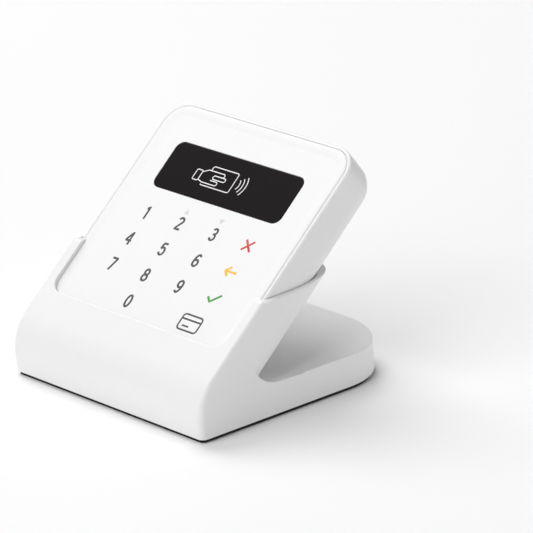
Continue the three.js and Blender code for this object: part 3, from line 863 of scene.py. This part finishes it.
@dataclass(frozen=True)
class Film:
    """The terminal's seamless front: an outer skin with a window, and the part of it over each key."""

    seat: Seat
    side: float = 84
    corner: float = 9.5
    thick: float = 1.2
    start: float = 1.31
    edge_width: float = 0.95
    edge_height: float = 0.55
    dish_from: float = 3.2
    dish_to: float = 5.4
    dish: float = 0.14
    key_width: float = 12.4
    key_height: float = 7.6
    key_corner: float = 2
    window_width: float = 57.6
    window_height: float = 18.1
    window_corner: float = 3
    window_up: float = 18.65

    def ring(self, inset: float, out: float) -> Ring:
        """Return the skin's outline, drawn in, at a distance out of the face."""
        width = self.side - 2 * inset
        return self.seat.lay(rounded_rectangle(width, width, max(self.corner - inset, 0.5), (0, 0), 12), out)

    def key_outline(self, place: Flat, grow: float) -> list[Flat]:
        """Return the outline of the film over one key."""
        return rounded_rectangle(
            self.key_width + 2 * grow, self.key_height + 2 * grow, self.key_corner + grow, place, 6
        )

    def window_outline(self, grow: float) -> list[Flat]:
        """Return the outline of the display window."""
        return rounded_rectangle(
            self.window_width + 2 * grow, self.window_height + 2 * grow, self.window_corner + grow, (0, self.window_up)
        )

    def skin(self, places: Sequence[Flat]) -> bpy.types.Object:
        """Build the skin round the window and the keys."""
        rings = [
            self.ring(self.dish_to, -self.thick),
            self.ring(self.start + 0.12, -self.thick),
            self.ring(self.start, 0.12 - self.thick),
        ]
        for angle in [math.pi / 2 * t for t in steps(8)]:
            inset = self.start + self.edge_width * (1 - math.cos(angle))
            rings.append(self.ring(inset, -self.edge_height * (1 - math.sin(angle))))
        for t in steps(8):
            inset = self.dish_from + (self.dish_to - self.dish_from) * t
            rings.append(self.ring(inset, -self.dish * t * t * (3 - 2 * t)))
        size = len(rings[0])
        points = [point for ring in rings for point in ring]
        faces = []
        for row in range(len(rings) - 1):
            for i in range(size):
                here, after = row * size + i, row * size + (i + 1) % size
                faces.append([here, after, after + size, here + size])

        width = self.side - 2 * self.dish_to
        outline = rounded_rectangle(width, width, self.corner - self.dish_to, (0, 0), 12)
        for out, grow, order in ((-self.dish, 0.0, 1), (-self.thick, 0.15, -1)):
            holes = [self.window_outline(0.12), *[self.key_outline(place, grow) for place in places]]
            flat, triangles = cap_faces(outline, holes)
            start = len(points)
            points += self.seat.lay(flat, out)
            faces += [[start + i for i in triangle[::order]] for triangle in triangles]
        for place in [None, *places]:
            high = self.window_outline(0.12) if place is None else self.key_outline(place, 0)
            low = self.window_outline(0.12) if place is None else self.key_outline(place, 0.15)
            start, count = len(points), len(high)
            points += self.seat.lay(high, -self.dish) + self.seat.lay(low, -self.thick)
            for i in range(count):
                j = (i + 1) % count
                faces.append([start + i, start + j, start + count + j, start + count + i])
        return mesh_object("front_film", points, faces)

    def patch(self, name: str, place: Flat) -> bpy.types.Object:
        """Build the film over one key."""
        rings = [(-0.12, -0.37), (-0.1, -0.34), (0, -self.dish)]
        return loft(name, [self.seat.lay(self.key_outline(place, grow), out) for grow, out in rings])

    def window(self) -> bpy.types.Object:
        """Build the display window, with its edge just broken."""
        levels = [(-0.05, -1.55), (0, -1.5), (0, -0.3), (-0.05, -0.19), (-0.16, -self.dish)]
        return loft("display_pane", [self.seat.lay(self.window_outline(grow), out) for grow, out in levels])


@dataclass(frozen=True)
class Casing:
    """The terminal's rear moulding with its slot, ports and screw holes."""

    seat: Seat
    side: float = 84
    thick: float = 18.6
    corner: float = 9.5
    back_edge: float = 9
    wall: float = 1.8
    top: float = -0.25
    top_round: float = 0.8
    rebate: float = 1.25
    ledge: float = -1.28

    def ring(self, inset: float, out: float) -> Ring:
        """Return the casing's outline, drawn in, at a distance out of the face."""
        width = self.side - 2 * inset
        return self.seat.lay(rounded_rectangle(width, width, max(self.corner - inset, 0.5), (0, 0), 12), out)

    def rings(self) -> list[Ring]:
        """Return the rings of the shell, from the outside of its back round to the inside."""
        made = []
        for angle in [math.pi / 2 * t for t in steps(12)]:
            inset = self.back_edge * (1 - math.sin(angle))
            made.append(self.ring(inset, -self.thick + self.back_edge * (1 - math.cos(angle))))
        for angle in [math.pi / 2 * t for t in steps(6)]:
            inset = self.top_round * (1 - math.cos(angle))
            made.append(self.ring(inset, self.top - self.top_round * (1 - math.sin(angle))))
        for inset, out in ((1.1, 0), (1.21, -0.05), (self.rebate, -0.16)):
            made.append(self.ring(inset, self.top + out))
        made.append(self.ring(self.rebate, self.ledge))
        made.append(self.ring(self.wall, self.ledge))
        inner = self.back_edge - self.wall
        for angle in [math.pi / 2 * t for t in reversed(steps(8))]:
            inset = self.wall + inner * (1 - math.sin(angle))
            made.append(self.ring(inset, self.wall - self.thick + inner * (1 - math.cos(angle))))
        return made

    def side_cut(self, outline: Sequence[Flat], reach: Sequence[tuple[float, float]]) -> bpy.types.Object:
        """Return a cutter through the left side: an outline in up and out, with its growth at each depth."""
        rings = []
        middle_up = sum(point[0] for point in outline) / len(outline)
        middle_out = sum(point[1] for point in outline) / len(outline)
        for x, grow in reach:
            rings.append([
                self.seat.place(x, middle_up + (up - middle_up) * grow, middle_out + (out - middle_out) * grow)
                for up, out in outline
            ])
        return loft("side_cut", rings)

    def build(self, posts: Sequence[Flat], pads: Sequence[Flat]) -> bpy.types.Object:
        """Build the casing.

        Args:
            posts: places of the casing screws.
            pads: places of the charging pads.
        """
        seat, half = self.seat, self.side / 2
        shell = loft("rear_moulding", self.rings())
        slot = [(-half - 1, 0.7), (-half, 0.7), (-half + 0.7, 0), (-half + 3, 0)]
        cutters = [
            loft("slot", [
                [seat.place(x, up, out) for x, out in rounded_rectangle(55.4, 1.7 + grow, 0.6, (0, -7.55), 4)]
                for up, grow in slot
            ]),
            self.side_cut(rounded_rectangle(8.2, 3.4, 1.1, (12, -8), 5), [(-half - 1, 1), (-half + 3, 1)]),
            self.side_cut(rounded_rectangle(9.8, 3.6, 1.75, (28, -8), 6), [(-half - 1, 1), (-half + 3, 1)]),
        ]
        full = 2 * math.pi
        for place in pads:
            cutters.append(loft("pad_hole", [seat.lay(arc(place, 1.6, 0, full, 24)[1:], out) for out in (-20, -15)]))
        for place in posts:
            cutters.append(loft("post_hole", [seat.lay(arc(place, 2.3, 0, full, 24)[1:], out) for out in (-20, -12)]))
        carve(shell, *cutters)
        return bevel(shell, 0.18, 50, 2)

    def posts(self, places: Sequence[Flat]) -> list[bpy.types.Object]:
        """Build the tubes that the casing screws go through."""
        made = []
        for place in places:
            levels = [(3.3, -17.2), (3.3, -6.2), (1.2, -6.2), (1.2, -12), (2.3, -12), (2.3, -17.2)]
            rings = [self.seat.lay(arc(place, radius, 0, 2 * math.pi, 24)[1:], out) for radius, out in levels]
            size = len(rings[0])
            points = [point for ring in rings for point in ring]
            faces = [
                [row * size + i, row * size + (i + 1) % size, (row + 1) % 6 * size + (i + 1) % size, (row + 1) % 6 * size + i]
                for row in range(6)
                for i in range(size)
            ]
            made.append(mesh_object("post", points, faces))
        return made


# ---------------------------------------------------------------- strokes by geometry nodes


class StrokeTree:
    """A geometry-node tree that turns edges into ribbons of one width and height."""

    def __init__(self) -> None:
        """Build the tree."""
        self.tree = bpy.data.node_groups.new("strokes", "GeometryNodeTree")
        face = self.tree.interface
        face.new_socket("Geometry", in_out="INPUT", socket_type="NodeSocketGeometry")
        self.width = face.new_socket("Stroke width", in_out="INPUT", socket_type="NodeSocketFloat").identifier
        self.height = face.new_socket("Stroke height", in_out="INPUT", socket_type="NodeSocketFloat").identifier
        self.ink = face.new_socket("Ink", in_out="INPUT", socket_type="NodeSocketMaterial").identifier
        face.new_socket("Geometry", in_out="OUTPUT", socket_type="NodeSocketGeometry")
        nodes, links = self.tree.nodes, self.tree.links
        start, end = nodes.new("NodeGroupInput"), nodes.new("NodeGroupOutput")
        curve = nodes.new("GeometryNodeMeshToCurve")
        normal = nodes.new("GeometryNodeSetCurveNormal")
        normal.mode = "Z_UP"
        section = nodes.new("GeometryNodeCurvePrimitiveQuadrilateral")
        sweep = nodes.new("GeometryNodeCurveToMesh")
        sweep.inputs["Fill Caps"].default_value = True
        whole = nodes.new("GeometryNodeRealizeInstances")
        dress = nodes.new("GeometryNodeSetMaterial")
        links.new(start.outputs["Geometry"], curve.inputs[0])
        links.new(curve.outputs[0], normal.inputs["Curve"])
        links.new(normal.outputs[0], sweep.inputs["Curve"])
        links.new(start.outputs["Stroke width"], section.inputs["Width"])
        links.new(start.outputs["Stroke height"], section.inputs["Height"])
        links.new(section.outputs[0], sweep.inputs["Profile Curve"])
        links.new(sweep.outputs[0], whole.inputs[0])
        links.new(whole.outputs[0], dress.inputs["Geometry"])
        links.new(start.outputs["Ink"], dress.inputs["Material"])
        links.new(dress.outputs[0], end.inputs[0])

    def ribbons(
        self, name: str, paths: Sequence[Sequence[Flat]], width: float, height: float, ink: bpy.types.Material
    ) -> bpy.types.Object:
        """Return flat ribbons along paths, lying level at the origin.

        Args:
            name: the piece's name.
            paths: rows of points in millimetres; a row that ends where it starts is closed.
            width: width of the ribbons in millimetres.
            height: thickness of the ribbons in millimetres.
            ink: their material.
        """
        points: list[Point] = []
        edges: list[tuple[int, int]] = []
        for path in paths:
            closed = math.dist(path[0], path[-1]) < 1e-6
            row = list(path[:-1] if closed else path)
            start = len(points)
            points += [(x * MM, y * MM, 0) for x, y in row]
            edges += [(start + i, start + i + 1) for i in range(len(row) - 1)]
            if closed:
                edges.append((start + len(row) - 1, start))
        mesh = bpy.data.meshes.new(name)
        mesh.from_pydata(points, edges, [])
        obj = bpy.data.objects.new(name, mesh)
        bpy.context.scene.collection.objects.link(obj)
        work = obj.modifiers.new("strokes", "NODES")
        work.node_group = self.tree
        work[self.width] = width * MM
        work[self.height] = height * MM
        work[self.ink] = ink
        return settle(obj)


def bow(centre: Flat, size: Flat, start: float, end: float, count: int = 20) -> list[Flat]:
    """Return points along part of an ellipse, between two angles in degrees."""
    angles = [math.radians(start + (end - start) * t) for t in steps(count)]
    return [(centre[0] + size[0] * math.cos(a), centre[1] + size[1] * math.sin(a)) for a in angles]


def half_turn(paths: Sequence[Sequence[Flat]]) -> list[list[Flat]]:
    """Return paths turned by half a turn."""
    return [[(-x, -y) for x, y in path] for path in paths]


SIX = [bow((0, -0.19), (0.2, 0.245), 0, 360, 32), bow((0.045, -0.14), (0.245, 0.575), 178, 52)]

LEGENDS: dict[str, list[list[Flat]]] = {
    "0": [bow((0, 0), (0.2, 0.435), 0, 360, 40)],
    "1": [[(0.055, -0.5), (0.055, 0.5)], [(0.055, 0.42), (-0.13, 0.285)]],
    "2": [[*bow((0, 0.225), (0.2, 0.21), 168, -32), (-0.17, -0.38)], [(-0.24, -0.435), (0.25, -0.435)]],
    "3": [
        bow((-0.005, 0.225), (0.18, 0.21), 158, -90),
        bow((-0.005, -0.2), (0.205, 0.235), 92, -162),
        [(-0.08, 0.02), (0.0, 0.02)],
    ],
    "4": [[(0.12, -0.5), (0.12, 0.5)], [(0.10, 0.455), (-0.215, -0.15)], [(-0.27, -0.17), (0.26, -0.17)]],
    "5": [
        [(-0.155, 0.435), (0.22, 0.435)],
        [(-0.13, 0.44), (-0.175, -0.0)],
        bow((0.0, -0.15), (0.205, 0.285), 148, -158),
    ],
    "6": SIX,
    "7": [[(-0.25, 0.435), (0.255, 0.435)], [(0.205, 0.43), (-0.085, -0.5)]],
    "8": [bow((0, 0.225), (0.17, 0.21), 0, 360, 32), bow((0, -0.2), (0.205, 0.235), 0, 360, 32)],
    "9": half_turn(SIX),
    "cancel": [[(-0.38, -0.40), (0.38, 0.40)], [(-0.38, 0.40), (0.38, -0.40)]],
    "back": [[(-0.50, 0), (0.5, 0)], [(-0.12, 0.36), (-0.52, -0.03)], [(-0.12, -0.36), (-0.52, 0.03)]],
    "confirm": [[(-0.5, 0.02), (-0.14, -0.33)], [(-0.19, -0.33), (0.52, 0.36)]],
}
LEGEND_INK = {"cancel": "red", "back": "amber", "confirm": "green"}


@dataclass(frozen=True)
class Keypad:
    """Legends of the keys, the two menu arrows, the emblem and the display's pictogram."""

    seat: Seat
    film: Film
    finishes: Finishes
    strokes: StrokeTree
    column: float = 15.45
    row: float = 10.2
    top: float = -0.1
    high: float = 4.9
    weight: float = 0.8
    print_height: float = 0.03

    def places(self) -> dict[str, Flat]:
        """Return the place of every key on the face."""
        rows = (("1", "2", "3", "cancel"), ("4", "5", "6", "back"), ("7", "8", "9", "confirm"), (None, "0"))
        return {
            name: ((c - 1.5) * self.column, self.top - r * self.row)
            for r, names in enumerate(rows)
            for c, name in enumerate(names)
            if name is not None
        }

    def lay_down(self, obj: bpy.types.Object, place: Flat, out: float) -> bpy.types.Object:
        """Move a level piece from the origin to its place on the face."""
        for vertex in obj.data.vertices:
            x, y, z = (value / MM for value in vertex.co)
            vertex.co = [value * MM for value in self.seat.place(x + place[0], y + place[1], z + out)]
        obj.data.update()
        return obj

    def printed(
        self, name: str, paths: Sequence[Sequence[Flat]], place: Flat, scale: float, width: float, ink: str, out: float
    ) -> bpy.types.Object:
        """Return strokes printed at a place on the face, fused where they cross."""
        pieces = []
        for path in paths:
            row = [(x * scale, y * scale) for x, y in path]
            pieces.append(self.strokes.ribbons(name, [row], width, self.print_height, self.finishes.inks[ink]))
        first = pieces[0]
        for other in pieces[1:]:
            fuse = first.modifiers.new("fuse", "BOOLEAN")
            fuse.operation = "UNION"
            fuse.solver = "EXACT"
            fuse.object = other
            settle(first)
            bpy.data.objects.remove(other)
        first.name = name
        return self.lay_down(first, place, out)

    def legend(self, key: str, place: Flat) -> bpy.types.Object:
        """Return one key's legend."""
        ink = LEGEND_INK.get(key, "dark")
        return self.printed(f"legend_{key}", LEGENDS[key], place, self.high, self.weight, ink, -self.film.dish)

    def arrow(self, name: str, place: Flat, way: int) -> bpy.types.Object:
        """Return a small menu arrow that points up or down the face."""
        corners = [(-1.05, -0.85 * way), (1.05, -0.85 * way), (0, 0.95 * way)]
        rings = [[(x, y, z) for x, y in corners] for z in (-self.print_height / 2, self.print_height / 2)]
        obj = self.finishes.dress(loft(name, rings), self.finishes.inks["grey"])
        return self.lay_down(obj, place, -self.film.dish)

    def emblem(self) -> bpy.types.Object:
        """Return the printed emblem: a plain card with its stripe."""
        card = [*rounded_rectangle(8.4, 5.6, 1.1, (0, 0), 5)]
        paths = [[*card, card[0]], [(-4.1, 1.05), (4.1, 1.05)], [(-2.6, -1.3), (0.2, -1.3)]]
        return self.printed("emblem", paths, (20.6, -31.0), 1, 0.62, "dark", -self.film.dish)

    def pictogram(self) -> bpy.types.Object:
        """Return the display's pictogram: a hand that holds a card, and its signal."""
        cuff = rounded_rectangle(2.5, 3.9, 0.5, (-13.4, 18.0), 4)
        paths = [
            [*cuff, cuff[0]],
            [(-12.1, 19.5), (-9.9, 20.7), *bow((-3.2, 20.0), (0.7, 0.7), 90, -90, 8), (-6.4, 19.3)],
            [(-6.6, 19.3), *bow((-1.9, 18.6), (0.7, 0.7), 90, -90, 8), (-6.3, 17.9)],
            [(-6.3, 19.35), (-6.9, 18.6), (-6.3, 17.85)],
            [(-12.1, 16.5), (-10.2, 15.9), *bow((-4.4, 16.6), (0.7, 0.7), -90, 90, 8), (-7.2, 17.3)],
            [(-9.0, 20.9), (-9.0, 21.6), *bow((-8.3, 21.7), (0.7, 0.7), 180, 90, 6), *bow((1.9, 21.7), (0.7, 0.7), 90, 0, 6),
             *bow((1.9, 15.6), (0.7, 0.7), 0, -90, 6), *bow((-9.6, 15.2), (0.4, 0.3), -90, -180, 4)],
        ]
        signal = [bow((1.9, 18.7), (1.7 + 1.45 * i, 1.7 + 1.45 * i), -34, 34, 14) for i in (1, 2, 3)]
        return self.printed("pictogram", [*paths, *signal], (0, 0), 1, 0.36, "lit", -self.film.dish)


# ---------------------------------------------------------------- studio


@dataclass(frozen=True)
class Studio:
    """Floor, light and camera."""

    camera_place: Point = (809.45, -784.75, 433.72)
    look_at: Point = (0, 25.5, 29.67)
    lens: float = 252.24
    lamp_distance: float = 3000
    lamp_size: float = 2000

    def floor(self) -> None:
        """Lay a plain pale floor."""
        obj = loft("floor", [[(-3000, -3000, z), (3000, -3000, z), (3000, 3000, z), (-3000, 3000, z)] for z in (-20, 0)])
        paint = Paint("floor_paper")
        paint.set(Base_Color=(0.95, 0.95, 0.95, 1), Roughness=paint.noise(30) * 0.1 + 0.75, Specular_IOR_Level=0.2)
        obj.data.materials.append(paint.material)
        obj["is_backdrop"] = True

    def lamp(self, name: str, azimuth: float, elevation: float, power: float) -> None:
        """Hang a large soft light that points at the object.

        Args:
            name: the lamp's name.
            azimuth: its direction in degrees, 0 in front and 90 on the right.
            elevation: its angle above the floor in degrees.
            power: its power in watts.
        """
        light = bpy.data.lights.new(name, "AREA")
        light.shape = "SQUARE"
        light.size = self.lamp_size * MM
        light.energy = power
        obj = bpy.data.objects.new(name, light)
        turn, rise = math.radians(azimuth), math.radians(elevation)
        level = math.cos(rise)
        direction = Vector((level * math.sin(turn), -level * math.cos(turn), math.sin(rise)))
        obj.location = direction * (self.lamp_distance * MM)
        obj.rotation_euler = direction.to_track_quat("Z", "Y").to_euler()
        bpy.context.scene.collection.objects.link(obj)

    def light(self) -> None:
        """Light the set with a dim even room and large soft lamps."""
        world = bpy.data.worlds.new("room")
        world.use_nodes = True
        background = world.node_tree.nodes["Background"]
        background.inputs["Color"].default_value = (1, 1, 1, 1)
        background.inputs["Strength"].default_value = 0.2
        bpy.context.scene.world = world
        self.lamp("front_high", 0, 50, 34)
        self.lamp("front_low", 0, 20, 18)
        self.lamp("left", 255, 56, 56)
        self.lamp("right_rear", 122, 12, 22)

    def shoot(self) -> None:
        """Set up the camera and the picture's tone."""
        data = bpy.data.cameras.new("camera")
        data.lens = self.lens
        data.sensor_width = 36
        data.clip_end = 20
        obj = bpy.data.objects.new("camera", data)
        obj.location = [value * MM for value in self.camera_place]
        towards = Vector([value * MM for value in self.look_at]) - obj.location
        obj.rotation_euler = towards.to_track_quat("-Z", "Y").to_euler()
        scene = bpy.context.scene
        scene.collection.objects.link(obj)
        scene.camera = obj
        scene.view_settings.view_transform = "Standard"


# ---------------------------------------------------------------- assembly


class Model:
    """The whole object, built around the frame."""

    def __init__(self) -> None:
        """Load the frame and make what every sub-assembly needs."""
        self.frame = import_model()
        self.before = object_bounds()
        self.finishes = Finishes()
        self.seat = Seat()

    def add(
        self,
        obj: bpy.types.Object,
        body: str,
        slot: Slot,
        material: bpy.types.Material | None = None,
        nodes: Sequence[str] = (),
    ) -> bpy.types.Object:
        """Place a finished piece on its body, in the stead of CAD nodes.

        Args:
            obj: the piece.
            body: the body that it rides on.
            slot: the record's material slot; not used.
            material: its material, unless it has one.
            nodes: the CAD nodes that it stands for.
        """
        if material is not None:
            self.finishes.dress(obj, material)
        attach(obj, body)
        if nodes:
            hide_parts(*nodes)
        LOG.info("%s rides on %s, %d faces", obj.name, body, len(obj.data.polygons))
        return obj

    def softened(self, node: str, name: str, width: float) -> bpy.types.Object:
        """Return a copy of a CAD node with its edges rounded."""
        source = self.frame["nodes"][node]
        obj = bpy.data.objects.new(name, source.data.copy())
        bpy.context.scene.collection.objects.link(obj)
        work = bmesh.new()
        work.from_mesh(obj.data)
        bmesh.ops.remove_doubles(work, verts=work.verts, dist=1e-6)
        bmesh.ops.dissolve_limit(work, angle_limit=math.radians(1), verts=work.verts, edges=work.edges)
        work.to_mesh(obj.data)
        work.free()
        return smooth(bevel(obj, width, 30, 2), 40)

    def cradle(self) -> None:
        """Build the cradle."""
        form = Cradle(self.seat, self.finishes)
        self.add(smooth(form.shell()), "cradle", Slot.GLOSS, self.finishes.gloss, ["cradle_shell"])
        self.add(smooth(form.sole()), "cradle", Slot.RUBBER, self.finishes.rubber, ["sole_pad"])
        for node, name, slot, material in (
            ("contact_block", "contact_housing", Slot.BLACK, self.finishes.black),
            ("base_plate", "base_cover", Slot.BLACK, self.finishes.black),
        ):
            self.add(self.softened(node, name, 0.15), "cradle", slot, material, [node])
        for i in range(1, 5):
            name = f"charge_pin_{i}"
            self.add(self.softened(name, f"sprung_pin_{i}", 0.08), name, Slot.GOLD, self.finishes.gold, [name])

    def terminal(self) -> None:
        """Build the terminal."""
        film = Film(self.seat)
        keypad = Keypad(self.seat, film, self.finishes, StrokeTree())
        places = keypad.places()
        body = Body.TERMINAL.value
        skin = smooth(film.skin(list(places.values())), 40)
        self.add(skin, body, Slot.SATIN, self.finishes.satin, ["face_skin"])
        self.add(smooth(film.window()), body, Slot.WINDOW, self.finishes.window, ["display_window"])
        for key, place in places.items():
            self.add(smooth(film.patch(f"film_{key}", place)), f"key_{key}", Slot.SATIN, self.finishes.satin)
            self.add(keypad.legend(key, place), f"key_{key}", Slot.BLACK)
        self.add(keypad.arrow("arrow_up", (-7.8, 4.5), 1), body, Slot.BLACK)
        self.add(keypad.arrow("arrow_down", (7.5, 4.8), -1), body, Slot.BLACK)
        self.add(keypad.emblem(), body, Slot.BLACK)
        self.add(keypad.pictogram(), body, Slot.INNER)

        casing = Casing(self.seat)
        posts = [(x, y) for x in (32, -32) for y in (31.5, -31.5)]
        pads = [((i - 1.5) * 4, -31) for i in range(4)]
        shell = casing.build(posts, pads)
        join(shell, *casing.posts(posts))
        self.add(smooth(shell), body, Slot.GLOSS, self.finishes.gloss, ["rear_casing"])
        button = self.softened("power_button", "side_button", 0.3)
        self.add(button, Body.BUTTON.value, Slot.INNER, self.finishes.inner, ["power_button"])

    def dress_nodes(self) -> None:
        """Give every CAD node its material."""
        by_slot = {
            Slot.GLOSS: self.finishes.gloss,
            Slot.SATIN: self.finishes.satin,
            Slot.INNER: self.finishes.inner,
            Slot.WINDOW: self.finishes.window,
            Slot.BLACK: self.finishes.black,
            Slot.RUBBER: self.finishes.rubber,
            Slot.STEEL: self.finishes.steel,
            Slot.GOLD: self.finishes.gold,
            Slot.BOARD: self.finishes.board,
            Slot.FOIL: self.finishes.foil,
            Slot.POUCH: self.finishes.pouch,
        }
        slots = {row["node"]: Slot(row["material_slot"]) for row in self.frame["record"]["subparts"]}
        for name, obj in self.frame["nodes"].items():
            self.finishes.dress(obj, by_slot[slots[name]])


def main() -> None:
    """Build the model, the studio and the camera."""
    logging.basicConfig(level=logging.INFO, format="%(name)s: %(message)s")
    model = Model()
    studio = Studio()
    studio.shoot()
    studio.floor()
    studio.light()
    model.dress_nodes()
    model.cradle()
    model.terminal()


if __name__ == "__main__":
    main()
